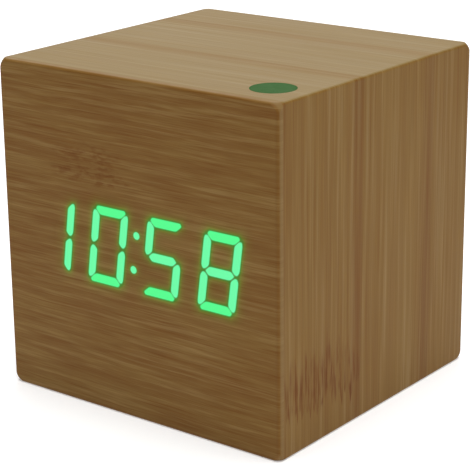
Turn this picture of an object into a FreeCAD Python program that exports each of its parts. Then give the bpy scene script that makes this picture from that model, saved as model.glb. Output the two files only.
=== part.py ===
# Cube-shaped alarm clock: a bamboo-clad case whose digits shine through its thinned front sheet.
# Millimetres. The origin is the centre of the base, the front faces -Y and +Z is up.
import FreeCAD, Part
import math
import os

Vector = FreeCAD.Vector

# Case
width, depth, height = 62.0, 59.4, 62.0
edge_radius = 0.55
corner_radius, corner_margin = 2.6, 0.61    # the larger block that only trims the corners
veneer = 0.6
wall = 5.0                  # veneer and board together
sheet = 1.2                 # front sheet
sheet_left = 0.5            # wood left in front of the digits
front_board = 4.4
dot_radius, dot_depth, dot_x, dot_y = 4.0, 0.2, 23.6, -21.1
cavity = width / 2 - wall   # half width of the space inside
front_face = -depth / 2
back_face = depth / 2
sheet_back = front_face + sheet
board_back = sheet_back + front_board

# Display
digit_height, digit_width, digit_pitch = 14.4, 8.15, 12.45
segment_width, segment_gap, segment_depth = 1.65, 0.12, 1.0
segment_chamfer, segment_blunt = 1.0, 0.3      # trimmed corner of the digit, flat tip beside the middle
digit_slant = math.radians(8.0)
colon_radius, colon_offset = 0.7, 3.18
display_width, display_height, display_depth = 50.3, 19.0, 8.0
display_z = 31.3
display_clearance = 0.3
display_front = front_face + sheet_left + 0.05
display_back = display_front + display_depth
pin_rows, pin_pitch, pins_per_row, pin_radius = 7.62, 2.54, 6, 0.25
lit = ("bc", "abcdef", "acdfg", "abcdefg")      # the four digits of the time shown

# Circuit boards
board_thickness = 1.6
display_board_box = (-25.4, 25.4, 13.5, 56.0)   # x from, x to, z from, z to
display_board_back = display_back + board_thickness
display_screw_spots = [(x, z) for x in (-22.0, 22.0) for z in (16.5, 52.5)]
rear_board_box = (-18.7, 18.7, 19.0, 53.0)
rear_board_front = 17.3
rear_board_back = rear_board_front + board_thickness
rear_board_spots = [(x, z) for x in (-16.5, 16.5) for z in (21.5, 46.0)]

# Rear cover and what shows through it
cover_half, cover_thickness = 25.8, 2.0
cover_front = 26.7
cover_back = cover_front + cover_thickness
cover_screw_spots = [(x, z) for x in (-22.5, 22.5) for z in (8.5, 53.5)]
post = 7.0
button_z = 46.0
button_x = {"set": -10.0, "up": 0.0, "down": 10.0}
button_radius, button_hole, flange_radius = 2.5, 2.8, 3.2
plunger_radius, plunger_hole = 1.7, 1.78
jack_x, jack_z = 12.0, 28.0
buzzer_x, buzzer_z, buzzer_radius = -10.0, 29.0, 6.0
microphone_x, microphone_z = 2.2, 27.0
thermistor_x, thermistor_z = 2.0, 36.5

# Battery compartment: three AAA cells side by side along X
cell_radius, cell_length, cell_pitch, cell_z = 5.25, 44.5, 10.9, 7.5
box_x, box_y, box_wall = 25.0, 17.6, 1.2
box_bottom, box_top = 0.2, 14.6
box_gap = 0.2
ear_spots = [(x, y) for x in (-14.0, 14.0) for y in (-19.7, 19.7)]
plate_thickness = 0.3
door_x, door_back, door_thickness = 23.5, 16.1, 1.6
hinge_y, hinge_z, hinge_pin, hinge_hole = -15.4, 1.2, 0.62, 0.7


def box(x0, x1, y0, y1, z0, z1):
    return Part.makeBox(x1 - x0, y1 - y0, z1 - z0, Vector(x0, y0, z0))


def rod(axis, start, end, u, v, radius):
    """Cylinder along an axis. u and v are its other two coordinates, in X, Y, Z order."""
    spots = {"x": Vector(start, u, v), "y": Vector(u, start, v), "z": Vector(u, v, start)}
    ways = {"x": Vector(1, 0, 0), "y": Vector(0, 1, 0), "z": Vector(0, 0, 1)}
    return Part.makeCylinder(radius, end - start, spots[axis], ways[axis])


def prism(points, y0, y1):
    """Solid between two Y values from a closed outline of (x, z) points."""
    outline = Part.makePolygon([Vector(x, y0, z) for x, z in points + points[:1]])
    return Part.Face(outline).extrude(Vector(0, y1 - y0, 0))


def fuse(solids):
    return solids[0].multiFuse(solids[1:]).removeSplitter()


def cut(solid, tools):
    for tool in tools:
        solid = solid.cut(tool)
    return solid


def save(name, solids):
    """Write one node: a single solid, or a group of separate solids."""
    shape = solids if not isinstance(solids, list) else Part.makeCompound(solids)
    if not shape.isValid():
        raise ValueError(name + " is not a valid solid")
    shape.exportStep("parts/" + name + ".step")


def screw(axis, head_at, way, u, v, shank, length, head, head_height):
    """Cross-head screw: the shank runs from head_at along way, which is 1 or -1."""
    def along(start, end, radius):
        low, high = sorted((head_at + way * start, head_at + way * end))
        return rod(axis, low, high, u, v, radius)
    solid = fuse([along(0, length, shank), along(-head_height, 0, head)])
    slot_depth, slot_half, slot_reach = head_height * 0.5, 0.22, head * 0.6
    low, high = sorted((head_at - way * head_height, head_at - way * (head_height - slot_depth)))
    for a, b in ((slot_half, slot_reach), (slot_reach, slot_half)):
        if axis == "y":
            solid = solid.cut(box(u - a, u + a, low, high, v - b, v + b))
        else:
            solid = solid.cut(box(u - a, u + a, v - b, v + b, low, high))
    return solid


# ---------------------------------------------------------------- case

def rounded_block(margin, radius):
    """Block that stands out past the case by margin on every side, rounded on every edge."""
    half = Vector(width / 2 + margin, depth / 2 + margin, height / 2 + margin)
    block = Part.makeBox(2 * half.x, 2 * half.y, 2 * half.z, half * -1)
    block = block.makeFillet(radius, block.Edges)
    return block.translate(Vector(0, 0, height / 2))


def outer_body():
    """The whole outside: small rounding along the edges, more of it at the corners."""
    return rounded_block(0, edge_radius).common(rounded_block(corner_margin, corner_radius)).Solids[0]


def wrap_region(side, outer, inner, front, back):
    """One mitred side of the box that wraps round the Y axis, between two depths from the outside."""
    def corner(sx, sz, inset):
        return sx * (width / 2 - inset), height / 2 + sz * (height / 2 - inset)
    ends = {"top": ((-1, 1), (1, 1)), "bottom": ((1, -1), (-1, -1)),
            "left": ((-1, -1), (-1, 1)), "right": ((1, 1), (1, -1))}[side]
    outline = [corner(*ends[0], outer), corner(*ends[1], outer), corner(*ends[1], inner), corner(*ends[0], inner)]
    return prism(outline, front, back)


def dot_disc():
    return rod("z", height - dot_depth, height, dot_x, dot_y, dot_radius)


def battery_opening():
    return box(-box_x - box_gap, box_x + box_gap, -box_y - box_gap, box_y + box_gap, -1, wall + 1)


def case(body):
    past = 1.0                                  # how far the outer regions reach past the outside
    thinned = box(-display_width / 2 - display_clearance, display_width / 2 + display_clearance,
                  front_face + sheet_left, sheet_back,
                  display_z - display_height / 2 - display_clearance,
                  display_z + display_height / 2 + display_clearance)
    front = body.common(box(-width, width, front_face - past, sheet_back, -past, height + past))
    save("front_sheet", front.cut(thinned))

    window = box(-display_width / 2 - display_clearance, display_width / 2 + display_clearance,
                 sheet_back, board_back,
                 display_z - display_height / 2 - display_clearance,
                 display_z + display_height / 2 + display_clearance)
    plate = body.common(box(-width / 2 + veneer, width / 2 - veneer, sheet_back, board_back,
                            veneer, height - veneer))
    pilots = [rod("y", board_back - 3.0, board_back, x, z, 1.05) for x, z in display_screw_spots]
    save("front_board", cut(plate, [window] + pilots))

    for side in ("top", "bottom", "left", "right"):
        skin = body.common(wrap_region(side, -past, veneer, sheet_back, back_face + past))
        board = body.common(wrap_region(side, veneer, wall, board_back, back_face + past))
        if side == "top":
            skin = skin.cut(dot_disc())
        if side == "bottom":
            skin = skin.cut(battery_opening())
            pilots = [rod("z", 1.5, wall, x, y, 1.05) for x, y in ear_spots]
            board = cut(board, [battery_opening()] + pilots)
        save(side + "_veneer", skin)
        save(side + "_board", board)
    save("top_dot", dot_disc())


# ---------------------------------------------------------------- display

def segment_outline(name, centre_x):
    """Outline of one segment, leaned over with the digit. Each is a mirror image of a, f or g."""
    right, top, bar, gap = digit_width / 2, digit_height / 2, segment_width, segment_gap
    trim, blunt = segment_chamfer, segment_blunt
    level = [(-right + trim, top), (right - trim, top), (right - trim / 2 - gap, top - trim / 2),
             (right - bar - gap, top - bar), (gap + bar - right, top - bar),
             (gap + trim / 2 - right, top - trim / 2)]
    upright = [(-right, top - trim), (-right + trim / 2, top - trim / 2 - gap), (bar - right, top - bar - gap),
               (bar - right, bar / 2 + gap), (bar / 2 + blunt - right, blunt), (blunt - right, blunt),
               (-right, 2.4 * blunt)]
    middle = [(bar / 2 + gap - right, 0), (bar + gap - right, bar / 2), (right - bar - gap, bar / 2),
              (right - bar / 2 - gap, 0), (right - bar - gap, -bar / 2), (bar + gap - right, -bar / 2)]
    points, flip_x, flip_z = {"a": (level, 1, 1), "d": (level, 1, -1), "g": (middle, 1, 1),
                              "f": (upright, 1, 1), "b": (upright, -1, 1),
                              "e": (upright, 1, -1), "c": (upright, -1, -1)}[name]
    lean = math.tan(digit_slant)
    return [(centre_x + flip_x * x + flip_z * z * lean, display_z + flip_z * z) for x, z in points]


def display():
    segments = {True: [], False: []}
    back = display_front + segment_depth
    for place, shown in enumerate(lit):
        centre_x = (place - 1.5) * digit_pitch
        for name in "abcdefg":
            segments[name in shown].append(prism(segment_outline(name, centre_x), display_front, back))
    for side in (-1, 1):
        x = side * colon_offset * math.tan(digit_slant)
        segments[True].append(rod("y", display_front, back, x, display_z + side * colon_offset, colon_radius))
    housing = box(-display_width / 2, display_width / 2, display_front, display_back,
                  display_z - display_height / 2, display_z + display_height / 2)
    save("display_housing", cut(housing, segments[True] + segments[False]))
    save("lit_segments", segments[True])
    save("dark_segments", segments[False])
    save("display_pins", [rod("y", display_back, display_back + 2.2, x, z, pin_radius) for x, z in pin_spots()])


def pin_spots():
    first = -(pins_per_row - 1) / 2
    return [((first + n) * pin_pitch, display_z + side * pin_rows)
            for side in (-1, 1) for n in range(pins_per_row)]


# ---------------------------------------------------------------- circuit boards

def board_plate(size, front, holes):
    """Board with holes, each given as (x, z, radius)."""
    x0, x1, z0, z1 = size
    plate = box(x0, x1, front, front + board_thickness, z0, z1)
    return cut(plate, [rod("y", front, front + board_thickness, x, z, radius) for x, z, radius in holes])


def chip(x, z, long, tall, thick, pins):
    """Chip on the back of the display board, with legs along its upper and lower edges."""
    lift, leg, reach = 0.15, 0.2, 1.0
    y = display_board_back
    parts = [box(x - long / 2, x + long / 2, y + lift, y + thick, z - tall / 2, z + tall / 2)]
    pitch = long / (pins + 1)
    for n in range(pins):
        leg_x = x - long / 2 + (n + 1) * pitch
        for side in (-1, 1):
            inner, outer = sorted((z + side * (tall / 2 - leg), z + side * (tall / 2 + reach)))
            parts.append(box(leg_x - leg, leg_x + leg, y, y + thick / 2, inner, outer))
    return fuse(parts)


def display_electronics():
    y = display_board_back
    holes = [(x, z, 1.15) for x, z in display_screw_spots] + [(x, z, 0.45) for x, z in pin_spots()]
    save("display_board", board_plate(display_board_box, display_back, holes))
    spacers, screws = [], []
    for x, z in display_screw_spots:
        spacers.append(rod("y", board_back, display_back, x, z, 2.5).cut(
            rod("y", board_back, display_back, x, z, 1.15)))
        screws.append(screw("y", y, -1, x, z, 1.0, board_thickness + display_back - board_back + 2.6, 1.9, 1.2))
    save("board_spacers", spacers)
    save("display_screws", screws)
    save("controller_chip", chip(-15.0, 30.0, 10.3, 5.5, 2.0, 8))
    save("driver_chip", chip(14.5, 30.0, 9.9, 4.6, 1.7, 8))
    save("clock_crystal", rod("x", -18.0, -12.0, y + 1.1, 21.5, 1.1))
    cans = [fuse([rod("y", y + 0.4, y + 5.4, 20.0, z, 2.5),
                  box(17.3, 22.7, y, y + 0.5, z - 2.7, z + 2.7)]) for z in (22.5, 41.0)]
    save("capacitors", cans)
    save("chip_resistors", [box(x - 1.0, x + 1.0, y, y + 0.5, 17.6, 18.9) for x in range(-14, 15, 4)])
    coin_cell(-8.0, 48.0)


def coin_cell(x, z):
    """Backup cell in its holder: a round tray with a spring arm across its open side."""
    cell, thick, floor, rim = 6.25, 2.0, 0.8, 1.0
    y = display_board_back
    tray = rod("y", y, y + floor + thick, x, z, cell + rim).cut(
        rod("y", y + floor, y + floor + thick, x, z, cell + 0.05))
    arm = box(x - 1.6, x + 1.6, y + floor + thick, y + floor + thick + 0.4, z - cell - rim, z + 2.0)
    save("coin_cell_holder", fuse([tray, arm]))
    save("coin_cell", rod("y", y + floor, y + floor + thick, x, z, cell))


def rear_electronics():
    holes = [(x, z, 1.0) for x, z in rear_board_spots]
    y = rear_board_back
    save("rear_board", board_plate(rear_board_box, rear_board_front, holes))
    save("rear_board_screws", [screw("y", rear_board_front, 1, x, z, 0.85, 6.6, 1.7, 1.1)
                               for x, z in rear_board_spots])
    switch_top = y + 3.5
    save("switch_bodies", [box(x - 3, x + 3, y, switch_top, button_z - 3, button_z + 3).cut(
        rod("y", switch_top - 1.5, switch_top, x, button_z, plunger_hole)) for x in button_x.values()])
    nose_bore = rod("y", y + 2.1, cover_back, jack_x, jack_z, 1.8)
    jack = fuse([box(jack_x - 3.5, jack_x + 3.5, y, cover_front, jack_z - 3.5, jack_z + 3.5),
                 rod("y", cover_front, cover_back - 0.3, jack_x, jack_z, 2.9)])
    save("jack_body", jack.cut(nose_bore))
    save("jack_pin", rod("y", y + 2.1, cover_back - 1.0, jack_x, jack_z, 0.65))
    buzzer = rod("y", y, y + 6.5, buzzer_x, buzzer_z, buzzer_radius)
    save("buzzer", buzzer.cut(rod("y", y + 5.7, y + 6.5, buzzer_x, buzzer_z, 1.0)))
    save("microphone", rod("y", y, y + 2.7, microphone_x, microphone_z, 3.0))
    leads = [rod("y", y, y + 3.6, thermistor_x + side * 0.7, thermistor_z, 0.25) for side in (-1, 1)]
    bead = Part.makeSphere(1.25, Vector(thermistor_x, y + 4.2, thermistor_z))
    save("thermistor", fuse([bead] + leads))


# ---------------------------------------------------------------- rear cover and buttons

def sound_holes():
    ring = [(buzzer_x + 2.6 * math.cos(a), buzzer_z + 2.6 * math.sin(a))
            for a in [n * math.pi / 3 for n in range(6)]]
    return ring + [(buzzer_x, buzzer_z), (microphone_x, microphone_z)]


def rear_cover():
    plate = box(-cover_half, cover_half, cover_front, cover_back, height / 2 - cover_half,
                height / 2 + cover_half)
    upright = [e for e in plate.Edges if abs(e.tangentAt(e.FirstParameter).y) > 0.9]
    plate = plate.makeFillet(1.0, upright)
    outside = [e for e in plate.Edges if e.BoundBox.YMin > cover_back - 0.01]
    plate = plate.makeFillet(0.3, outside)
    bosses = [rod("y", rear_board_back, cover_front, x, z, 2.1) for x, z in rear_board_spots]
    cover = fuse([plate] + bosses)
    tools = [rod("y", rear_board_back, cover_front - 1.0, x, z, 0.9) for x, z in rear_board_spots]
    for x, z in cover_screw_spots:
        tools.append(rod("y", cover_front, cover_back, x, z, 1.2))
        tools.append(rod("y", cover_back - 1.0, cover_back, x, z, 2.1))
    tools += [rod("y", cover_front, cover_back, x, button_z, button_hole) for x in button_x.values()]
    tools.append(rod("y", cover_front, cover_back, jack_x, jack_z, 3.1))
    tools += [rod("y", cover_front, cover_back, x, z, 0.6) for x, z in sound_holes()]
    for z in (34.5, 36.5, 38.5):
        tools.append(slot(thermistor_x, z, 9.0, 1.0))
    save("rear_cover", cut(cover, tools))
    posts, screws = [], []
    for x, z in cover_screw_spots:
        reach_x, reach_z = math.copysign(cavity, x), height / 2 + math.copysign(cavity, z - height / 2)
        x0, x1 = sorted((reach_x, reach_x - math.copysign(post, x)))
        z0, z1 = sorted((reach_z, reach_z - math.copysign(post, z - height / 2)))
        solid = box(x0, x1, 18.4, cover_front, z0, z1)
        posts.append(solid.cut(rod("y", 19.4, cover_front, x, z, 1.05)))
        screws.append(screw("y", cover_back - 1.0, -1, x, z, 1.0, 7.0, 1.9, 0.9))
    save("corner_posts", posts)
    save("rear_cover_screws", screws)


def slot(x, z, long, wide):
    """Round-ended vent slot through the rear cover."""
    reach = long / 2 - wide / 2
    ends = [rod("y", cover_front, cover_back, x + side * reach, z, wide / 2) for side in (-1, 1)]
    middle = box(x - reach, x + reach, cover_front, cover_back, z - wide / 2, z + wide / 2)
    return fuse(ends + [middle])


def buttons():
    flange_front, flange_back, face = 25.7, 26.5, 29.2
    for name, x in button_x.items():
        cap = fuse([rod("y", flange_front, flange_back, x, button_z, flange_radius),
                    rod("y", flange_back, face, x, button_z, button_radius)])
        rim = [e for e in cap.Edges if e.BoundBox.YMin > face - 0.01]
        cap = cap.makeFillet(0.4, rim)
        dish = Part.makeSphere(6.0, Vector(x, face + 5.75, button_z))
        save(name + "_button", cap.cut(dish))
        save(name + "_plunger", rod("y", rear_board_back + 2.7, flange_front, x, button_z, plunger_radius))


# ---------------------------------------------------------------- battery compartment

def battery_box():
    outer = box(-box_x, box_x, -box_y, box_y, box_bottom, box_top)
    inner = box(-box_x + box_wall, box_x - box_wall, -box_y + box_wall, box_y - box_wall,
                box_bottom, box_top - box_wall)
    body = outer.cut(inner)
    ears = []
    for x, y in ear_spots:
        y0, y1 = sorted((math.copysign(box_y, y), math.copysign(box_y + 4.4, y)))
        ears.append(box(x - 3.2, x + 3.2, y0, y1, wall, wall + box_wall))
    ribs = [box(x - 0.5, x + 0.5, y - 0.8, y + 0.8, cell_z + cell_radius, box_top - box_wall)
            for x in (-12.0, 12.0) for y in (-cell_pitch, 0.0, cell_pitch)]
    body = fuse([body] + ears + ribs)
    tools = [rod("z", wall, wall + box_wall, x, y, 1.15) for x, y in ear_spots]
    tools += [rod("z", box_top - box_wall, box_top, x, y, 0.7) for x, y in lead_spots()]
    tools += [rod("x", -box_x + 0.4, box_x - 0.4, hinge_y, hinge_z, hinge_hole)]
    save("battery_box", cut(body, tools))
    save("battery_box_screws", [screw("z", wall + box_wall, -1, x, y, 1.0, 4.4, 1.9, 1.2)
                                for x, y in ear_spots])


def lead_spots():
    """Where the black and red leads leave the compartment."""
    return [(-23.0, -cell_pitch), (23.0, cell_pitch)]


def cells_and_contacts():
    end = box_x - box_wall - plate_thickness     # where a cell's raised end touches its plate
    cells, springs = [], []
    for y, way in ((-cell_pitch, 1), (0.0, -1), (cell_pitch, 1)):
        nub = 1.0
        low, high = sorted((way * (end - cell_length), way * (end - nub)))
        can = rod("x", low, high, y, cell_z, cell_radius)
        can = can.makeFillet(0.5, [e for e in can.Edges if len(e.Vertexes) == 1])
        low, high = sorted((way * (end - nub - 0.2), way * end))
        cells.append(fuse([can, rod("x", low, high, y, cell_z, 1.9)]))
        springs.append(spring(way, -way * end, y))
    save("batteries", cells)
    save("contact_springs", springs)
    low, high = box_x - box_wall - plate_thickness, box_x - box_wall
    single, reach, z0, z1 = 4.2, cell_pitch + 4.2, 3.2, 12.0
    spans = ((-high, -low, -reach, -cell_pitch + single), (-high, -low, -single, reach),
             (low, high, -reach, single), (low, high, cell_pitch - single, reach))
    save("contact_plates", [box(x0, x1, y0, y1, z0, z1) for x0, x1, y0, y1 in spans])


def spring(way, base, y):
    """Contact spring that stands on its plate at base and presses on the flat end of a cell, along way.

    Its turns are rings, each a little narrower than the one before, with short struts between them."""
    wire, first, narrowing, pitch, turns = 0.25, 3.3, 0.35, 0.98, 3
    rings = []
    for n in range(turns):
        middle = base + way * (wire + n * pitch)
        rings.append(Part.makeTorus(first - n * narrowing, wire, Vector(middle, y, cell_z), Vector(1, 0, 0)))
        if n:
            reach = first - (n - 0.5) * narrowing
            low, high = sorted((middle, middle - way * pitch))
            rings.append(rod("x", low, high, y, cell_z + (reach if n % 2 else -reach), wire))
    return fuse(rings)


def battery_door():
    top = hinge_z + door_thickness / 2
    bottom = hinge_z - door_thickness / 2
    plate = box(-door_x, door_x, hinge_y, door_back, bottom, top)
    nose = rod("x", -door_x, door_x, hinge_y, hinge_z, door_thickness / 2)
    pins = rod("x", -door_x - 0.9, door_x + 0.9, hinge_y, hinge_z, hinge_pin)
    door = fuse([plate, nose, pins])
    scoop = rod("x", -6.0, 6.0, 12.2, bottom - 5.4, 6.0)
    grooves = [box(-6.0, 6.0, y, y + 0.7, bottom, bottom + 0.3) for y in (6.2, 7.8)]
    save("battery_door", cut(door, [scoop] + grooves))


# ---------------------------------------------------------------- wiring

def wiring():
    connector_x, connector_z, half, tall, deep = 9.0, 49.5, 5.0, 2.6, 5.0
    start, end = display_board_back + deep, rear_board_front - deep
    low, high = connector_x - half, connector_x + half
    save("cable_connectors", [
        box(low, high, start - deep, start, connector_z - tall, connector_z + tall),
        box(low, high, end, end + deep, connector_z - tall, connector_z + tall)])
    save("ribbon_cable", ribbon(connector_x, connector_z, start, end))
    black, red = lead_spots()
    save("battery_lead_black", lead(black, 25.5, 6.0))
    save("battery_lead_red", lead(red, 34.0, 12.0))


def lead(spot, z, bend):
    """Wire from a contact plate: straight up, round one bend, then level to the display board."""
    (x, y), low, radius = spot, 11.3, 0.5
    corner = bend * math.sqrt(0.5)
    upward = Part.LineSegment(Vector(x, y, low), Vector(x, y, z - bend))
    turn = Part.Arc(Vector(x, y, z - bend), Vector(x, y - bend + corner, z - bend + corner),
                    Vector(x, y - bend, z))
    level = Part.LineSegment(Vector(x, y - bend, z), Vector(x, display_board_back, z))
    path = Part.Wire([piece.toShape() for piece in (upward, turn, level)])
    ring = Part.Wire(Part.makeCircle(radius, Vector(x, y, low), Vector(0, 0, 1)))
    return path.makePipeShell([ring], True, False)


def ribbon(x, z, start, end):
    """Flat cable that sags between its two connectors."""
    half_width, half_thick, sag, steps = 4.0, 0.4, 5.0, 8
    edges = []
    for side in (-1, 1):
        points = []
        for n in range(steps + 1):
            share = n / steps
            drop = sag * (1 - math.cos(2 * math.pi * share)) / 2
            points.append(Vector(x - half_width, start + share * (end - start), z - drop + side * half_thick))
        curve = Part.BSplineCurve()
        curve.interpolate(points)
        edges.append((curve.toShape(), points))
    (lower, low_points), (upper, high_points) = edges
    ends = [Part.makeLine(low_points[n], high_points[n]) for n in (0, -1)]
    outline = Part.Wire(Part.__sortEdges__([lower, ends[1], upper, ends[0]]))
    return Part.Face(outline).extrude(Vector(2 * half_width, 0, 0))


os.makedirs("parts", exist_ok=True)
case(outer_body())
display()
display_electronics()
rear_cover()
rear_electronics()
buttons()
battery_box()
cells_and_contacts()
battery_door()
wiring()
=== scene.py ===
import math
import bpy
import numpy as np
from mathutils import Matrix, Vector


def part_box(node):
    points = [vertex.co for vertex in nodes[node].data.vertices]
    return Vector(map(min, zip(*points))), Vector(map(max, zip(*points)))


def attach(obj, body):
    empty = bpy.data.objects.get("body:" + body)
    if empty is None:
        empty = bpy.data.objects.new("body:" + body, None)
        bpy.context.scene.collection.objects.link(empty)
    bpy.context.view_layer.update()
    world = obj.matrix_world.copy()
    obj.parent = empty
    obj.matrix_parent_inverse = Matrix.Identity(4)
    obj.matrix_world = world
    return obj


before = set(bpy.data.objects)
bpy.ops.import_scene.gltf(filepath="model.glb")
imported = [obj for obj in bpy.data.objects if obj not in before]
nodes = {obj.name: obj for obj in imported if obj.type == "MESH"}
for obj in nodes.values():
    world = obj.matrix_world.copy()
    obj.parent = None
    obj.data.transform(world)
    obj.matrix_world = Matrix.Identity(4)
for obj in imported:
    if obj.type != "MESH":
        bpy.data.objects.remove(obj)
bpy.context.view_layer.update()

mm = 0.001

# sizes of the case in millimetres, as the CAD has them
case = {"width": 62.0, "depth": 59.4, "height": 62.0}
halfWidth, halfDepth, halfHeight = case["width"] / 2, case["depth"] / 2, case["height"] / 2
aroundCorner = halfWidth + case["height"]       # from the middle of the top to a lower edge, along the wrap


def mmBox(name):
    # lowest and highest corners of a CAD node, in mm
    low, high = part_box(name)
    return np.array(low) / mm, np.array(high) / mm


def addNode(tree, kind, inputs=None, **settings):
    # makes one node: settings are its own options, inputs are values or sockets to link
    made = tree.nodes.new(kind)
    for name, value in settings.items():
        setattr(made, name, value)
    for key, value in (inputs or {}).items():
        if isinstance(value, bpy.types.NodeSocket):
            tree.links.new(value, made.inputs[key])
        else:
            made.inputs[key].default_value = value
    return made


def calc(tree, operation, a, b=None, clamp=False):
    # one step of arithmetic on values or sockets
    inputs = {0: a} if b is None else {0: a, 1: b}
    return addNode(tree, "ShaderNodeMath", inputs, operation=operation, use_clamp=clamp).outputs[0]


# short names for the steps that come up most
def times(tree, a, b):
    return calc(tree, "MULTIPLY", a, b)


def plus(tree, a, b):
    return calc(tree, "ADD", a, b)


def minus(tree, a, b):
    return calc(tree, "SUBTRACT", a, b)


def combine(tree, x, y, z):
    return addNode(tree, "ShaderNodeCombineXYZ", {0: x, 1: y, 2: z}).outputs[0]


def separate(tree, vector):
    return addNode(tree, "ShaderNodeSeparateXYZ", {0: vector}).outputs[:3]


def vectorMath(tree, operation, inputs):
    return addNode(tree, "ShaderNodeVectorMath", inputs, operation=operation).outputs[0]


def ramp(tree, value, low, high, start=0.0, end=1.0, smooth=True):
    # start below low and end above high, with a smooth or a straight run between them
    kind = "SMOOTHSTEP" if smooth else "LINEAR"
    inputs = {"Value": value, "From Min": low, "From Max": high, "To Min": start, "To Max": end}
    return addNode(tree, "ShaderNodeMapRange", inputs, interpolation_type=kind).outputs[0]


def blendColor(tree, share, first, second, way="MIX"):
    # first where share is 0, second where it is 1
    made = addNode(tree, "ShaderNodeMix", data_type="RGBA", blend_type=way)
    for key, value in ((0, share), (6, first), (7, second)):
        if isinstance(value, bpy.types.NodeSocket):
            tree.links.new(value, made.inputs[key])
        else:
            made.inputs[key].default_value = value
    return made.outputs[2]


def noise(tree, vector, detail, roughness):
    # soft noise with one bump per unit of the vector
    inputs = {"Vector": vector, "Scale": 1.0, "Detail": detail, "Roughness": roughness}
    return addNode(tree, "ShaderNodeTexNoise", inputs).outputs[0]


def newGroup(name, inputs, outputs):
    # an empty node group: inputs are name: (kind, value), kinds are v vector, f value and c colour
    tree = bpy.data.node_groups.new(name, "ShaderNodeTree")
    kinds = {"v": "NodeSocketVector", "f": "NodeSocketFloat", "c": "NodeSocketColor"}
    for socket, (kind, value) in inputs.items():
        made = tree.interface.new_socket(socket, in_out="INPUT", socket_type=kinds[kind])
        made.default_value = value
    for socket, kind in outputs.items():
        tree.interface.new_socket(socket, in_out="OUTPUT", socket_type=kinds[kind])
    return tree, tree.nodes.new("NodeGroupInput").outputs, tree.nodes.new("NodeGroupOutput").inputs


# layers of the bamboo's grain: how the place is stretched for the noise, then its detail and roughness
grain = {
    "sway": ((0.02, 0.10, 0.05), 1.0, 0.5), "broad": ((0.016, 0.16, 0.05), 2.0, 0.6),
    "medium": ((0.016, 0.75, 0.08), 3.0, 0.6), "streak": ((0.022, 2.3, 0.10), 3.0, 0.65),
    "fine": ((0.06, 6.5, 0.2), 2.0, 0.5), "jag": ((0.02, 0.55, 0.2), 3.0, 0.7),
    # share of the noise from which a layer starts to darken the wood, and where it is full
    "broadFrom": (0.36, 0.68), "mediumFrom": (0.42, 0.70), "streakFrom": (0.48, 0.68),
    "lightFrom": (0.52, 0.28), "mediumShare": 0.7, "stripShift": 97.0, "stripStep": 1.37,
    # the dark band along one side of a strip, and its thin start on the next
    "band": (0.80, 0.98), "bandStart": (0.05, 0.0), "bandWander": 0.12,
    # how far the end of a knot is jagged, how its dashes lie and how clear they are
    "knotJag": 2.4, "dashAcross": 1.3, "dashJag": 2.0, "dashFrom": (0.40, 0.66, 0.1, 1.0),
    "knotEdge": (1.3, 0.2), "fineTone": (0.3, 0.7, 0.92, 1.08), "roughness": (0.3, 0.7, 0.48, 0.60),
    "fineHeight": 0.6, "darkHeight": -0.5,
}


def grainNoise(tree, vector, layer):
    # noise at the place times the layer's stretch
    scale, detail, roughness = grain[layer]
    return noise(tree, vectorMath(tree, "MULTIPLY", {0: vector, 1: scale}), detail, roughness)


def knotShade(tree, given, x, y, z, jag):
    # mask of a knot: (along / length)^2 + (across / width)^4 under 1.3, broken up into short jagged dashes;
    # along is stretched by Knot Sharp on its far side, so that the dashes end sharply there
    beyond = plus(tree, minus(tree, x, given["Knot Along"]),
                  times(tree, times(tree, jag, grain["knotJag"]), given["Knot Length"]))
    longer = calc(tree, "MAXIMUM", beyond, times(tree, beyond, given["Knot Sharp"]))
    offAlong = calc(tree, "DIVIDE", longer, given["Knot Length"])
    offAcross = calc(tree, "DIVIDE", minus(tree, y, given["Knot Across"]), given["Knot Width"])
    off = plus(tree, calc(tree, "POWER", calc(tree, "ABSOLUTE", offAlong), 2.0),
               calc(tree, "POWER", calc(tree, "ABSOLUTE", offAcross), 4.0))
    dashes = combine(tree, times(tree, x, given["Knot Dash"]),
                     plus(tree, times(tree, y, grain["dashAcross"]), times(tree, jag, grain["dashJag"])), z)
    chips = noise(tree, dashes, 2.0, 0.6)
    shown = times(tree, ramp(tree, chips, *grain["dashFrom"]), given["Knot Depth"])
    return times(tree, ramp(tree, off, *grain["knotEdge"]), shown)


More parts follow.
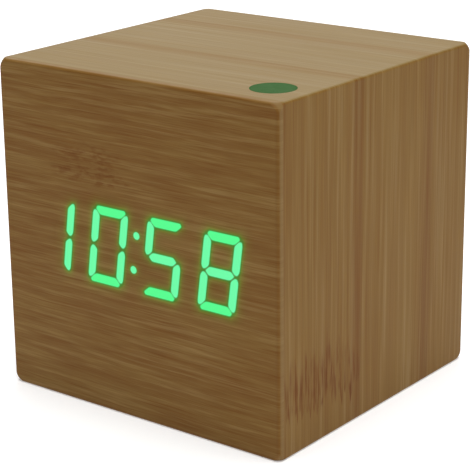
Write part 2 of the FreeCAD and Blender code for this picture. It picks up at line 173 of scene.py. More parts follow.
def bambooGroup():
    # long fibres run along X of Position, strips lie side by side along Y; all lengths in mm.
    # colour = plain blended to light where the fibres are pale, then to dark by the sum of all dark masks
    tree, given, out = newGroup("bambooGrain", {
        "Position": ("v", (0, 0, 0)), "Plain": ("c", (0.3, 0.2, 0.1, 1)),
        "Dark": ("c", (0.2, 0.1, 0.05, 1)), "Light": ("c", (0.4, 0.3, 0.2, 1)),
        "Strip Width": ("f", 23.0), "Strip Start": ("f", 0.0),
        "Fibre": ("f", 0.5), "Broad": ("f", 0.5), "Strip Tone": ("f", 0.3), "Seam Band": ("f", 0.4),
        "Run": ("f", 1.0), "Finer": ("f", 1.0), "Wander": ("f", 1.0), "Seed": ("f", 0.0),
        "Knot Along": ("f", 1000.0), "Knot Across": ("f", 0.0), "Knot Length": ("f", 5.0),
        "Knot Width": ("f", 10.0), "Knot Sharp": ("f", 1.0), "Knot Dash": ("f", 0.2),
        "Knot Depth": ("f", 0.5)},
        {"Color": "c", "Roughness": "f", "Height": "f"})
    x, y, z = separate(tree, given["Position"])
    # each strip has a tone of its own and takes its fibres from another place along the noise
    strips = calc(tree, "DIVIDE", minus(tree, y, given["Strip Start"]), given["Strip Width"])
    within = calc(tree, "FRACT", strips)
    number = plus(tree, times(tree, calc(tree, "FLOOR", strips), grain["stripStep"]), given["Seed"])
    tone = addNode(tree, "ShaderNodeTexWhiteNoise", {"W": number}, noise_dimensions="1D").outputs[0]
    run = times(tree, plus(tree, x, times(tree, tone, grain["stripShift"])), given["Run"])
    # the fibres wander a little as they run
    way = combine(tree, run, y, z)
    sway = minus(tree, grainNoise(tree, way, "sway"), 0.5)
    across = plus(tree, y, times(tree, sway, given["Wander"]))
    bent = combine(tree, run, times(tree, across, given["Finer"]), z)
    broad, medium, streak, fine = (grainNoise(tree, bent, k) for k in ("broad", "medium", "streak", "fine"))
    # each strip darkens towards the side where it meets the next
    bandEdge = plus(tree, within, times(tree, minus(tree, medium, 0.5), grain["bandWander"]))
    band = calc(tree, "MAXIMUM", ramp(tree, bandEdge, *grain["band"]),
                ramp(tree, within, *grain["bandStart"]))
    jag = minus(tree, grainNoise(tree, way, "jag"), 0.5)
    dark = times(tree, ramp(tree, broad, *grain["broadFrom"]), given["Broad"])
    for mask in (times(tree, ramp(tree, medium, *grain["mediumFrom"]),
                       times(tree, given["Fibre"], grain["mediumShare"])),
                 times(tree, ramp(tree, streak, *grain["streakFrom"]), given["Fibre"]),
                 times(tree, tone, given["Strip Tone"]),
                 times(tree, band, given["Seam Band"]),
                 knotShade(tree, given, x, y, z, jag)):
        dark = plus(tree, dark, mask)
    dark = calc(tree, "MINIMUM", dark, 1.0)
    color = blendColor(tree, ramp(tree, medium, *grain["lightFrom"]), given["Plain"], given["Light"])
    color = blendColor(tree, dark, color, given["Dark"])
    fineTone = ramp(tree, fine, *grain["fineTone"], smooth=False)
    color = blendColor(tree, 1.0, color, combine(tree, fineTone, fineTone, fineTone), "MULTIPLY")
    tree.links.new(color, out["Color"])
    tree.links.new(ramp(tree, streak, *grain["roughness"]), out["Roughness"])
    height = plus(tree, times(tree, fine, grain["fineHeight"]), times(tree, dark, grain["darkHeight"]))
    tree.links.new(height, out["Height"])
    return tree


def edgeGroup():
    # 1 up to Near from an edge of a box, 0 from Far on; the distance to the edge is taken as
    # the second smallest distance to the box's three pairs of faces
    tree, given, out = newGroup("edgeNear", {
        "Position": ("v", (0, 0, 0)), "Half Size": ("v", (halfWidth, halfDepth, halfHeight)),
        "Near": ("f", 0.3), "Far": ("f", 1.2)}, {"Mask": "f"})
    away = vectorMath(tree, "ABSOLUTE", {0: given["Position"]})
    x, y, z = separate(tree, vectorMath(tree, "SUBTRACT", {0: given["Half Size"], 1: away}))
    low, high = calc(tree, "MINIMUM", x, y), calc(tree, "MAXIMUM", x, y)
    second = calc(tree, "MAXIMUM", low, calc(tree, "MINIMUM", high, z))
    share = calc(tree, "DIVIDE", minus(tree, given["Far"], second),
                 minus(tree, given["Far"], given["Near"]), clamp=True)
    tree.links.new(share, out["Mask"])
    return tree


def speckGroup():
    # two sizes of soft noise for moulded plastic, board and metal; Stretch lays it out as brushing
    tree, given, out = newGroup("speckle", {
        "Position": ("v", (0, 0, 0)), "Base": ("c", (0.5, 0.5, 0.5, 1)), "Other": ("c", (0.4, 0.4, 0.4, 1)),
        "Stretch": ("v", (1, 1, 1)), "Coarse": ("f", 0.6), "Fine": ("f", 6.0),
        "Rough Low": ("f", 0.4), "Rough High": ("f", 0.6)},
        {"Color": "c", "Roughness": "f", "Height": "f"})
    laid = vectorMath(tree, "MULTIPLY", {0: given["Position"], 1: given["Stretch"]})
    coarse = noise(tree, vectorMath(tree, "SCALE", {0: laid, "Scale": given["Coarse"]}), 3.0, 0.6)
    fine = noise(tree, vectorMath(tree, "SCALE", {0: laid, "Scale": given["Fine"]}), 2.0, 0.6)
    share = ramp(tree, plus(tree, times(tree, coarse, 0.5), times(tree, fine, 0.5)), 0.36, 0.64)
    tree.links.new(blendColor(tree, share, given["Base"], given["Other"]), out["Color"])
    spread = minus(tree, given["Rough High"], given["Rough Low"])
    tree.links.new(plus(tree, given["Rough Low"], times(tree, coarse, spread)), out["Roughness"])
    tree.links.new(fine, out["Height"])
    return tree


groups = {"bamboo": bambooGroup(), "edge": edgeGroup(), "speck": speckGroup()}
print("stage: node groups made")


def startMaterial(name, constants):
    # a new material with its constants set, and the place on the piece in metres
    made = bpy.data.materials.new(name)
    made.use_nodes = True
    tree = made.node_tree
    shader = tree.nodes["Principled BSDF"]
    for socket, value in constants.items():
        shader.inputs[socket].default_value = value
    place = addNode(tree, "ShaderNodeTexCoord").outputs["Object"]
    return made, tree, shader, place


def mapping(tree, place, location=(0, 0, 0), turn=(0, 0, 0), scale=(1, 1, 1)):
    # object metres to millimetres, then turned and moved (location in mm)
    inputs = {"Vector": place, "Location": location, "Rotation": turn, "Scale": [s / mm for s in scale]}
    return addNode(tree, "ShaderNodeMapping", inputs).outputs[0]


def useGroup(tree, key, inputs):
    # places a node group with its own values and gives its outputs
    return addNode(tree, "ShaderNodeGroup", inputs, node_tree=groups[key]).outputs


def linkSurface(tree, shader, color, roughness):
    # colour and roughness that vary over the surface
    tree.links.new(color, shader.inputs["Base Color"])
    tree.links.new(roughness, shader.inputs["Roughness"])


def bump(tree, shader, height, distance):
    # fine relief, with its full height in metres
    made = addNode(tree, "ShaderNodeBump", {"Height": height, "Distance": distance})
    tree.links.new(made.outputs[0], shader.inputs["Normal"])


# plain and light ground of each side, the red brown its fibres darken towards, how strong the fibres,
# the broad streaks and the bands along the strips are, and its knot: place along and across the fibres,
# half length and half width, sharpness, dash and depth
sideWood = {
    "Plain": (0.228, 0.124, 0.028, 1), "Light": (0.274, 0.170, 0.060, 1), "Dark": (0.145, 0.044, 0.003, 1),
    "Fibre": 0.26, "Broad": 0.10, "Seam Band": 0.32}
bamboo = {
    "top": {**sideWood, "Plain": (0.238, 0.161, 0.059, 1), "Light": (0.260, 0.184, 0.078, 1),
            "Dark": (0.190, 0.088, 0.003, 1), "Fibre": 0.06, "Seam Band": 0.42,
            "knot": (-1000.0, 0.0, 4.0, 8.0, 1.0, 0.2, 0.0)},
    "right": {**sideWood, "knot": (84.5, -17.8, 8.0, 12.0, 4.0, 0.14, 0.85)},
    "left": {**sideWood, "knot": (-76.0, 5.0, 8.0, 11.0, 5.0, 0.10, 0.7)},
    "bottom": {**sideWood, "Plain": (0.240, 0.135, 0.038, 1), "Light": (0.280, 0.170, 0.060, 1),
               "knot": (101.0, -18.0, 8.0, 9.0, 5.0, 0.10, 0.6)},
    "front": {**sideWood, "Plain": (0.216, 0.116, 0.026, 1), "Light": (0.268, 0.160, 0.050, 1),
              "Fibre": 0.39, "Broad": 0.22, "Seam Band": 0.0,
              "knot": (-9.0, 45.6, 8.5, 4.0, 1.6, 0.42, 0.56)},
}

# strips and fibres of the wrap and of the front sheet
wrapStrips = {"Strip Width": 22.6, "Strip Start": -6.1, "Strip Tone": 0.10, "Run": 1.0, "Finer": 1.0,
              "Wander": 1.2, "Seed": 4.0}
sheetStrips = {"Strip Width": 80.0, "Strip Start": -10.0, "Strip Tone": 0.0, "Run": 3.6, "Finer": 2.0,
               "Wander": 0.4, "Seed": 9.0}

# the relief and shine of all the bamboo, then the darker line round the front and the pale side of the
# front sheet: where each starts and is full, and how strong it is; lengths in mm, the relief in metres
woodLook = {
    "bump": 0.00002, "shine": 0.12, "lineNear": 0.5, "lineFar": 0.9, "lineShare": 0.16,
    "sheetSide": (0.245, 0.154, 0.055, 1), "sideBehind": (-29.55, -29.25), "sideShare": 0.6,
}


def grainInputs(side, position, strips):
    # a side's own values for the bamboo group
    names = ("Along", "Across", "Length", "Width", "Sharp", "Dash", "Depth")
    own = dict(bamboo[side])
    knot = {"Knot " + name: value for name, value in zip(names, own.pop("knot"))}
    return {"Position": position, **knot, **own, **strips}


# the wrap is one long sheet: X of the pattern is the way round it, Z is 0 at its outside
wrapTurns = {
    "top": ((0, 0, -case["height"]), (0, 0, 0), (1, 1, 1)),
    "right": ((aroundCorner, 0, -halfWidth), (0, -math.pi / 2, 0), (1, 1, 1)),
    "left": ((-aroundCorner, 0, -halfWidth), (0, math.pi / 2, 0), (1, 1, 1)),
    "bottom": ((aroundCorner + halfWidth, 0, 0), (0, 0, 0), (-1, 1, 1)),
}


def wrapMaterial(side):
    # one side of the wrap, whose fibres run on over the edges from side to side
    name = "bambooWrap" + side.capitalize()
    made, tree, shader, place = startMaterial(name, {"Specular IOR Level": woodLook["shine"]})
    laid = mapping(tree, place, *wrapTurns[side])
    pattern = useGroup(tree, "bamboo", grainInputs(side, laid, wrapStrips))
    linkSurface(tree, shader, pattern["Color"], pattern["Roughness"])
    bump(tree, shader, pattern["Height"], woodLook["bump"])
    return made


def frontMaterial():
    # fibres across the sheet, a darker line near its edges, and paler wood on its sides
    made, tree, shader, place = startMaterial("bambooFront", {"Specular IOR Level": woodLook["shine"]})
    laid = mapping(tree, place, turn=(-math.pi / 2, 0, 0))
    pattern = useGroup(tree, "bamboo", grainInputs("front", laid, sheetStrips))
    centred = mapping(tree, place, (0, 0, -halfHeight))
    edge = useGroup(tree, "edge", {"Position": centred, "Near": woodLook["lineNear"],
                                   "Far": woodLook["lineFar"]})
    line = times(tree, edge["Mask"], woodLook["lineShare"])
    color = blendColor(tree, line, pattern["Color"], bamboo["front"]["Dark"])
    behind = ramp(tree, separate(tree, centred)[1], *woodLook["sideBehind"])
    color = blendColor(tree, times(tree, behind, woodLook["sideShare"]), color, woodLook["sheetSide"])
    linkSurface(tree, shader, color, pattern["Roughness"])
    bump(tree, shader, pattern["Height"], woodLook["bump"])
    return made


dot = {"base": (0.050, 0.113, 0.040, 1), "other": (0.062, 0.128, 0.050, 1), "rim": (0.030, 0.080, 0.020, 1),
       "rimFrom": (3.6, 4.0, 0.0, 0.5), "coarse": 0.5, "fine": 5.0, "rough": (0.55, 0.65), "bump": 0.00001}


def dotMaterial():
    # flat green inlay: the distance from its centre gives the darker rim
    made, tree, shader, place = startMaterial("greenInlay", {"Specular IOR Level": 0.0})
    low, high = mmBox("top_dot")
    middle = (low + high) / 2
    position = mapping(tree, place, (-middle[0], -middle[1], 0), scale=(1, 1, 0))
    radius = addNode(tree, "ShaderNodeVectorMath", {0: position}, operation="LENGTH").outputs["Value"]
    speck = useGroup(tree, "speck", {
        "Position": position, "Base": dot["base"], "Other": dot["other"], "Coarse": dot["coarse"],
        "Fine": dot["fine"], "Rough Low": dot["rough"][0], "Rough High": dot["rough"][1]})
    rim = ramp(tree, radius, *dot["rimFrom"])
    linkSurface(tree, shader, blendColor(tree, rim, speck["Color"], dot["rim"]), speck["Roughness"])
    bump(tree, shader, speck["Height"], dot["bump"])
    return made


# plain finishes: two colours, how many coarse and fine specks to a mm, lowest and highest roughness,
# metal, and the relief in metres
finishes = {
    "fibreboard": dict(base=(0.26, 0.165, 0.085), other=(0.19, 0.115, 0.055), coarse=0.5, fine=4.0,
                       rough=(0.75, 0.95), metal=0.0, bump=0.00008),
    "blackPlastic": dict(base=(0.022, 0.022, 0.023), other=(0.030, 0.030, 0.031), coarse=0.9, fine=9.0,
                         rough=(0.42, 0.62), metal=0.0, bump=0.00003),
    "buttonPlastic": dict(base=(0.035, 0.035, 0.037), other=(0.045, 0.045, 0.047), coarse=1.1, fine=11.0,
                          rough=(0.32, 0.48), metal=0.0, bump=0.00001),
    "doorPlastic": dict(base=(0.026, 0.026, 0.027), other=(0.034, 0.034, 0.035), coarse=0.7, fine=8.0,
                        rough=(0.45, 0.65), metal=0.0, bump=0.00003),
    "paleInk": dict(base=(0.46, 0.46, 0.45), other=(0.40, 0.40, 0.39), coarse=0.8, fine=8.0,
                    rough=(0.5, 0.65), metal=0.0, bump=0.00001),
    "whitePlastic": dict(base=(0.72, 0.70, 0.64), other=(0.66, 0.64, 0.57), coarse=0.6, fine=6.0,
                         rough=(0.4, 0.55), metal=0.0, bump=0.00001),
    "steel": dict(base=(0.55, 0.56, 0.58), other=(0.42, 0.43, 0.45), coarse=0.8, fine=7.0,
                  rough=(0.25, 0.42), metal=1.0, bump=0.00001),
    "brass": dict(base=(0.72, 0.52, 0.22), other=(0.62, 0.42, 0.16), coarse=1.0, fine=8.0,
                  rough=(0.22, 0.38), metal=1.0, bump=0.00001),
    "tin": dict(base=(0.66, 0.67, 0.69), other=(0.55, 0.56, 0.58), coarse=0.8, fine=5.0,
                rough=(0.28, 0.45), metal=1.0, bump=0.00001),
    "circuit": dict(base=(0.012, 0.085, 0.030), other=(0.020, 0.120, 0.045), coarse=0.35, fine=2.5,
                    rough=(0.30, 0.42), metal=0.0, bump=0.00001),
    "chip": dict(base=(0.020, 0.020, 0.022), other=(0.030, 0.030, 0.032), coarse=1.0, fine=8.0,
                 rough=(0.5, 0.65), metal=0.0, bump=0.00001),
    "displayBlack": dict(base=(0.014, 0.014, 0.014), other=(0.020, 0.020, 0.020), coarse=0.8, fine=8.0,
                         rough=(0.55, 0.7), metal=0.0, bump=0.00001),
    "milkyLens": dict(base=(0.32, 0.34, 0.32), other=(0.28, 0.30, 0.28), coarse=0.8, fine=6.0,
                      rough=(0.35, 0.5), metal=0.0, bump=0.00001),
    "greyCable": dict(base=(0.34, 0.35, 0.37), other=(0.28, 0.29, 0.31), coarse=0.6, fine=6.0,
                      rough=(0.5, 0.65), metal=0.0, bump=0.00001, stretch=(4.0, 0.2, 1.0)),
    "redWire": dict(base=(0.48, 0.012, 0.010), other=(0.40, 0.010, 0.008), coarse=0.8, fine=6.0,
                    rough=(0.38, 0.5), metal=0.0, bump=0.00001),
    "blackWire": dict(base=(0.014, 0.014, 0.014), other=(0.022, 0.022, 0.022), coarse=0.8, fine=6.0,
                      rough=(0.38, 0.5), metal=0.0, bump=0.00001),
}


def plainMaterial(name):
    # a finish whose colour and roughness vary with the specks
    spec = finishes[name]
    made, tree, shader, place = startMaterial(name, {"Metallic": spec["metal"]})
    speck = useGroup(tree, "speck", {
        "Position": mapping(tree, place), "Base": (*spec["base"], 1), "Other": (*spec["other"], 1),
        "Stretch": spec.get("stretch", (1, 1, 1)), "Coarse": spec["coarse"], "Fine": spec["fine"],
        "Rough Low": spec["rough"][0], "Rough High": spec["rough"][1]})
    linkSurface(tree, shader, speck["Color"], speck["Roughness"])
    bump(tree, shader, speck["Height"], spec["bump"])
    return made


litLens = {"Base": (0.14, 0.98, 0.40, 1), "Other": (0.12, 0.90, 0.34, 1), "Coarse": 0.6, "Fine": 5.0,
           "Rough Low": 0.3, "Rough High": 0.45}


def litMaterial():
    # lit lenses inside, behind the front sheet: they glow in their own colour
    made, tree, shader, place = startMaterial("litLens", {"Emission Strength": 1.0})
    speck = useGroup(tree, "speck", {"Position": mapping(tree, place), **litLens})
    linkSurface(tree, shader, speck["Color"], speck["Roughness"])
    tree.links.new(speck["Color"], shader.inputs["Emission Color"])
    return made


# how far the middle cell reaches from the centre line, then places along a cell: where the band, the
# bare raised end and the bare flat end start, all in mm
cells = {"middleReach": 5.4, "band": (9.9, 10.1), "raisedEnd": (22.0, 22.1), "flatEnd": (-20.4, -20.5),
         "sleeve": ((0.018, 0.020, 0.024, 1), (0.026, 0.028, 0.032, 1)), "bandColor": (0.50, 0.22, 0.08, 1),
         "bareColor": (0.60, 0.60, 0.61, 1), "bandMetal": 0.6}


def cellMaterial():
    # dark sleeve with a copper-coloured band at the raised end; the middle cell lies the other way
    made, tree, shader, place = startMaterial("cellSleeve", {"Coat Weight": 0.4, "Coat Roughness": 0.15})
    position = mapping(tree, place)
    x, y, z = separate(tree, position)
    middle = calc(tree, "LESS_THAN", calc(tree, "ABSOLUTE", y), cells["middleReach"])
    along = times(tree, x, minus(tree, 1.0, times(tree, middle, 2.0)))
    band = ramp(tree, along, *cells["band"])
    raised, flat = (ramp(tree, along, *cells[end]) for end in ("raisedEnd", "flatEnd"))
    bare = calc(tree, "MAXIMUM", raised, flat)
    speck = useGroup(tree, "speck", {
        "Position": position, "Base": cells["sleeve"][0], "Other": cells["sleeve"][1],
        "Coarse": 0.4, "Fine": 5.0, "Rough Low": 0.25, "Rough High": 0.38})
    color = blendColor(tree, band, speck["Color"], cells["bandColor"])
    linkSurface(tree, shader, blendColor(tree, bare, color, cells["bareColor"]), speck["Roughness"])
    metal = calc(tree, "MAXIMUM", bare, times(tree, band, cells["bandMetal"]))
    tree.links.new(metal, shader.inputs["Metallic"])
    return made


materials = {name: plainMaterial(name) for name in finishes}
for side in ("top", "bottom", "left", "right"):
    materials[side + "Wrap"] = wrapMaterial(side)
materials.update(front=frontMaterial(), dot=dotMaterial(), lit=litMaterial(), cell=cellMaterial())

# which finish each CAD node takes
nodeFinish = {
    "front_sheet": "front", "top_veneer": "topWrap", "bottom_veneer": "bottomWrap",
    "left_veneer": "leftWrap", "right_veneer": "rightWrap", "front_board": "fibreboard",
    "top_board": "fibreboard", "bottom_board": "fibreboard", "left_board": "fibreboard",
    "right_board": "fibreboard", "top_dot": "dot",
    "display_housing": "displayBlack", "lit_segments": "lit", "dark_segments": "milkyLens",
    "display_pins": "tin", "display_board": "circuit", "board_spacers": "whitePlastic",
    "display_screws": "steel", "controller_chip": "chip", "driver_chip": "chip", "clock_crystal": "tin",
    "capacitors": "tin", "chip_resistors": "chip", "coin_cell_holder": "steel", "coin_cell": "steel",
    "rear_cover": "blackPlastic", "corner_posts": "fibreboard", "rear_cover_screws": "steel",
    "rear_board": "circuit", "rear_board_screws": "steel", "switch_bodies": "chip",
    "set_button": "buttonPlastic", "up_button": "buttonPlastic", "down_button": "buttonPlastic",
    "set_plunger": "whitePlastic", "up_plunger": "whitePlastic", "down_plunger": "whitePlastic",
    "jack_body": "chip", "jack_pin": "brass", "buzzer": "chip", "microphone": "tin", "thermistor": "chip",
    "battery_box": "blackPlastic", "battery_box_screws": "steel", "batteries": "cell",
    "contact_springs": "steel", "contact_plates": "steel", "battery_door": "doorPlastic",
    "battery_lead_red": "redWire", "battery_lead_black": "blackWire", "ribbon_cable": "greyCable",
    "cable_connectors": "whitePlastic",
}
for name, made in nodes.items():
    made.data.materials.clear()
    made.data.materials.append(materials[nodeFinish[name]])
print("stage: CAD nodes painted")


# the digits as they show on the front: sizes of the bars and their places in mm, slant in degrees,
# the colours of the bars and of the light round them, and how strong that light is
display = {
    "shown": ("bc", "abcdef", "acdfg", "abcdefg"), "height": 14.4, "width": 8.15, "pitch": 12.45,
    "bar": 1.65, "gap": 0.12, "tip": 0.72, "cut": 0.58, "drop": 0.80, "blunt": 0.21, "rounding": 0.10,
    "slant": 8.0, "middle": 31.3, "colonRadius": 0.72, "colonOffset": 3.18, "colonGlow": 0.6,
    "halfWidth": 28.0, "halfHeight": 10.6, "step": 0.2, "proud": 0.015,
    "upright": (0.165, 0.98, 0.40, 1), "level": (0.105, 0.98, 0.29, 1), "nearColor": (0.03, 0.40, 0.045, 1),
    "wideColor": (0.25, 0.62, 0.06, 1), "nearGlow": 0.58, "nearReach": 0.26, "wideGlow": 0.05,
    "wideReach": 2.8, "mostGlow": 0.44, "inside": (0.14, -0.12), "nearFrom": (0.10, 0.36),
}


def addPiece(name, points, faces, finish, body):
    # a new mesh from arrays of points in metres and of quads, riding on a body
    mesh = bpy.data.meshes.new(name)
    mesh.from_pydata(points.reshape(-1, 3).tolist(), [], faces.tolist())
    mesh.materials.append(finish)
    made = bpy.data.objects.new(name, mesh)
    bpy.context.scene.collection.objects.link(made)
    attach(made, body)
    return made


def gridFaces(rows, columns):
    # quads between neighbouring points of a rows by columns grid
    index = np.arange(rows * columns).reshape(rows, columns)
    return np.stack([index[:-1, :-1], index[:-1, 1:], index[1:, 1:], index[1:, :-1]], -1).reshape(-1, 4)


def barOutlines():
    # corners of the bars a, f and g of one digit, clockwise about its middle; the others mirror them.
    # each bar is named with its corners and with the signs that mirror it across and upwards.
    # tip, cut and drop place the slanting ends, and blunt takes the points off them
    right, top = display["width"] / 2, display["height"] / 2
    bar, gap, tip, cut, drop, blunt = (display[k] for k in ("bar", "gap", "tip", "cut", "drop", "blunt"))
    shoulder = right - cut - 1.6 * blunt
    corner = right - bar - gap / 2
    level = [(-shoulder, top), (shoulder, top), (right - cut, top - cut), (corner, top - bar),
             (-corner, top - bar), (cut - right, top - cut)]
    upright = [(-right, top - drop - 2 * blunt), (blunt - right, top - drop), (tip - right, top - drop),
               (bar - right, top - bar - gap), (bar - right, bar / 2 + gap), (tip + gap - right, blunt),
               (2 * blunt - right, blunt), (-right, 4 * blunt)]
    end, flat = right - bar / 2 - gap, right - bar - gap
    middle = [(-end, 0), (-flat, bar / 2), (flat, bar / 2), (end, 0), (flat, -bar / 2), (-flat, -bar / 2)]
    return {"a": (level, 1, 1), "d": (level, 1, -1), "g": (middle, 1, 1), "f": (upright, 1, 1),
            "b": (upright, -1, 1), "e": (upright, 1, -1), "c": (upright, -1, -1)}


def outlineDistance(x, z, corners):
    # distance to a convex outline: the soft maximum over its sides of the distance past each side's line,
    # k log(sum exp(d / k)), which rounds its corners off
    ends = np.array(corners, float)
    sides = np.roll(ends, -1, 0) - ends
    outward = np.stack([-sides[:, 1], sides[:, 0]], 1) / np.linalg.norm(sides, axis=1)[:, None]
    past = x[..., None] * outward[:, 0] + z[..., None] * outward[:, 1] - (ends * outward).sum(1)
    k = display["rounding"]
    most = past.max(-1)
    return most + k * np.log(np.exp((past - most[..., None]) / k).sum(-1))


def lightBeyond(reach):
    # light scattered by the wood at a distance d from a bar: a e^(-d / b) plus a faint wide part
    # c (1 - d / w)^2
    past = np.maximum(reach, 0.0)
    near = display["nearGlow"] * np.exp(-past / display["nearReach"])
    return near + display["wideGlow"] * np.maximum(1 - past / display["wideReach"], 0) ** 2


def segmentDistances(x, z):
    # distance from each point to the nearest lit bar or colon dot, worked out before the digits lean;
    # also 1 where that bar is an outer level one, which glows a purer green, and the light from all bars
    lean = math.tan(math.radians(display["slant"]))
    dz = z - display["middle"]
    upright = x - dz * lean
    outlines = barOutlines()
    nearest, level, glow = np.full(x.shape, np.inf), np.zeros(x.shape), np.zeros(x.shape)
    for place, shown in enumerate(display["shown"]):
        dx = upright - (place - 1.5) * display["pitch"]
        for name in shown:
            corners, flipX, flipZ = outlines[name]
            reach = outlineDistance(dx * flipX, dz * flipZ, corners)
            level = np.where(reach < nearest, float(name in "ad"), level)
            nearest = np.minimum(nearest, reach)
            glow += lightBeyond(reach)
    for side in (-1, 1):
        spot = np.hypot(x - side * display["colonOffset"] * lean, dz - side * display["colonOffset"])
        spot = spot - display["colonRadius"]
        level = np.where(spot < nearest, 0.0, level)
        nearest = np.minimum(nearest, spot)
        glow += lightBeyond(spot) * display["colonGlow"]
    return nearest, level, glow


def glowMaterial():
    # what is inside a bar glows; just outside it the light fades into the wood, and the rest is clear
    made, tree, shader, place = startMaterial("glowingDigits", {
        "Emission Strength": 1.0, "Specular IOR Level": 0.0, "Roughness": 0.6, "Base Color": (0, 0, 0, 1)})
    reach, level, glow = (addNode(tree, "ShaderNodeAttribute", attribute_name=name).outputs["Fac"]
                          for name in ("barDistance", "barLevel", "barGlow"))
    inside = ramp(tree, reach, *display["inside"])
    halo = calc(tree, "MINIMUM", glow, display["mostGlow"])
    color = blendColor(tree, level, display["upright"], display["level"])
    near = ramp(tree, glow, *display["nearFrom"])
    outside = blendColor(tree, near, display["wideColor"], display["nearColor"])
    tree.links.new(blendColor(tree, inside, outside, color), shader.inputs["Emission Color"])
    tree.links.new(calc(tree, "MAXIMUM", inside, halo), shader.inputs["Alpha"])
    return made


def digitFilm():
    # a flat grid just in front of the sheet, kept only near the bars; each point carries its distance to
    # the nearest bar, whether that bar is an outer level one, and the light that reaches it
    across = int(2 * display["halfWidth"] / display["step"]) + 1
    up = int(2 * display["halfHeight"] / display["step"]) + 1
    x, z = np.meshgrid(np.linspace(-display["halfWidth"], display["halfWidth"], across),
                       np.linspace(-display["halfHeight"], display["halfHeight"], up) + display["middle"])
    reach, level, glow = segmentDistances(x, z)
    y = np.full(x.shape, -halfDepth - display["proud"])
    points = np.stack([x, y, z], -1) * mm
    faces = gridFaces(up, across)
    kept = reach.reshape(-1)[faces].min(1) < display["wideReach"]
    used, renumbered = np.unique(faces[kept], return_inverse=True)
    made = addPiece("digit_glow", points.reshape(-1, 3)[used], renumbered.reshape(-1, 4),
                    glowMaterial(), "case")
    for name, values in (("barDistance", reach), ("barLevel", level), ("barGlow", glow)):
        held = made.data.attributes.new(name, "FLOAT", "POINT")
        held.data.foreach_set("value", values.reshape(-1)[used].astype(np.float32))


digitFilm()
print("stage: digits made")


# raised signs on the rear cover, in mm, and for each button its sign, corners and first corner's angle
signs = {"sunk": 0.02, "rise": 0.12, "height": 50.9, "size": 1.1, "line": 0.34,
         "shapes": {"set_button": ("ring", 48, 0.0), "up_button": ("up", 3, math.pi / 2),
                    "down_button": ("down", 3, -math.pi / 2)}}


def raisedSign(name, middle, corners, start):
    # a band of n corners, radius r outside and r - line / cos(pi / n) inside, standing on the cover
    angle = start + np.arange(corners) * 2 * math.pi / corners
    inner = signs["size"] - signs["line"] / math.cos(math.pi / corners)
    face = mmBox("rear_cover")[1][1]
    low, high = face - signs["sunk"], face + signs["rise"]
    loops = [np.stack([middle + size * np.cos(angle), np.full(corners, y),
                       signs["height"] + size * np.sin(angle)], 1)
             for size, y in ((signs["size"], low), (signs["size"], high), (inner, high), (inner, low))]
    ring = np.arange(corners)
    after = (ring + 1) % corners
    faces = [np.stack([k * corners + ring, (k + 1) * corners + ring, (k + 1) * corners + after,
                       k * corners + after], 1) for k in range(3)]
    addPiece(name, np.concatenate(loops) * mm, np.concatenate(faces), materials["paleInk"],
             "case")


def rearSigns():
    # one sign above the middle of each button
    for button, (shape, corners, start) in signs["shapes"].items():
        low, high = mmBox(button)
        raisedSign("sign_" + shape, (low[0] + high[0]) / 2, corners, start)


rearSigns()
print("stage: rear signs made")


# place in metres, angles in degrees, lens and sensor in mm, nearest and farthest sight in metres
view = {"place": (0.18809, -0.24289, 0.12541), "azimuth": 37.922, "elevation": 17.789, "roll": -0.6716,
        "lens": 132.24, "sensor": 36.0, "sight": (0.01, 20.0)}


def turned(right, up, back, place):
    # matrix whose columns are an object's own right, up and back, and its place
    pose = np.eye(4)
    pose[:3] = np.stack([right, up, back, place], 1)
    return Matrix(pose.tolist())


def addCamera():
    # forward from azimuth and elevation, then right and up turned about it by the roll
    azimuth, elevation, roll = (math.radians(view[k]) for k in ("azimuth", "elevation", "roll"))
    forward = np.array([-math.sin(azimuth) * math.cos(elevation), math.cos(azimuth) * math.cos(elevation),
                        -math.sin(elevation)])
    right = np.cross(forward, (0, 0, 1))
    right /= np.linalg.norm(right)
    up = np.cross(right, forward)
    data = bpy.data.cameras.new("camera")
    data.lens, data.sensor_width = view["lens"], view["sensor"]
    data.clip_start, data.clip_end = view["sight"]
    camera = bpy.data.objects.new("camera", data)
    camera.matrix_world = turned(right * math.cos(roll) + up * math.sin(roll),
                                 up * math.cos(roll) - right * math.sin(roll), -forward, view["place"])
    bpy.context.scene.collection.objects.link(camera)
    bpy.context.scene.camera = camera


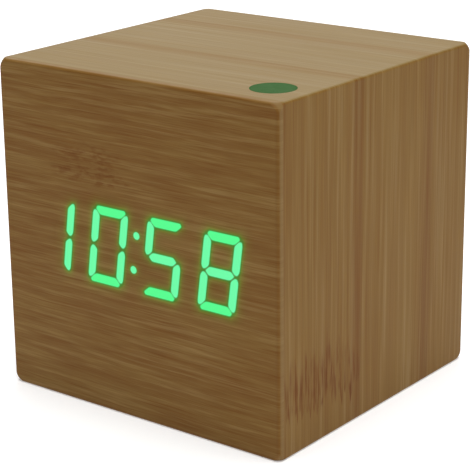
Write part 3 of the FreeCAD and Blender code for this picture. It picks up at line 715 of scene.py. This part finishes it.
# half the floor's side in metres, then its own values on the shader
floorLook = {"size": 3.0, "Base Color": (0.90, 0.90, 0.90, 1), "Emission Color": (1, 1, 1, 1),
             "Emission Strength": 0.30, "Roughness": 0.9, "Specular IOR Level": 0.0}


def addFloor():
    # seen from below the floor is clear, so the underside can be looked at
    look = dict(floorLook)
    size = look.pop("size")
    mesh = bpy.data.meshes.new("floor")
    mesh.from_pydata([(-size, -size, 0), (size, -size, 0), (size, size, 0), (-size, size, 0)], [],
                     [(0, 1, 2, 3)])
    made, tree, shader, place = startMaterial("paleFloor", look)
    below = addNode(tree, "ShaderNodeNewGeometry").outputs["Backfacing"]
    tree.links.new(minus(tree, 1.0, below), shader.inputs["Alpha"])
    mesh.materials.append(made)
    floor = bpy.data.objects.new("floor", mesh)
    bpy.context.scene.collection.objects.link(floor)


# place and aim in metres, size in metres, watts
lights = {
    "overhead": ((0.05, 0.0, 1.1), (0, 0, 0.03), 1.0, 16.4),
    "behind": ((-0.95, 1.2, 0.55), (0, 0, 0.05), 1.0, 4.5),
    "rightSide": ((1.2, 0.1, 0.35), (0, 0, 0.03), 0.6, 1.25),
}
worldStrength = 0.10


def addLights():
    # square lamps that face where they are aimed, and an even white world
    for name, (place, aim, size, watts) in lights.items():
        data = bpy.data.lights.new(name, "AREA")
        data.shape, data.size, data.energy = "SQUARE", size, watts
        lamp = bpy.data.objects.new(name, data)
        back = np.array(place, float) - np.array(aim, float)
        back /= np.linalg.norm(back)
        overhead = abs(back[2]) > 0.95          # straight above, Y is the guide instead of Z
        right = np.cross((0.0, 1.0, 0.0) if overhead else (0.0, 0.0, 1.0), back)
        right /= np.linalg.norm(right)
        lamp.matrix_world = turned(right, np.cross(back, right), back, place)
        bpy.context.scene.collection.objects.link(lamp)
    world = bpy.data.worlds.new("studio")
    world.use_nodes = True
    world.node_tree.nodes["Background"].inputs[0].default_value = (1.0, 1.0, 1.0, 1)
    world.node_tree.nodes["Background"].inputs[1].default_value = worldStrength
    bpy.context.scene.world = world
    bpy.context.scene.view_settings.view_transform = "Standard"


addCamera()
addFloor()
addLights()
print("stage: camera, floor and lights placed")
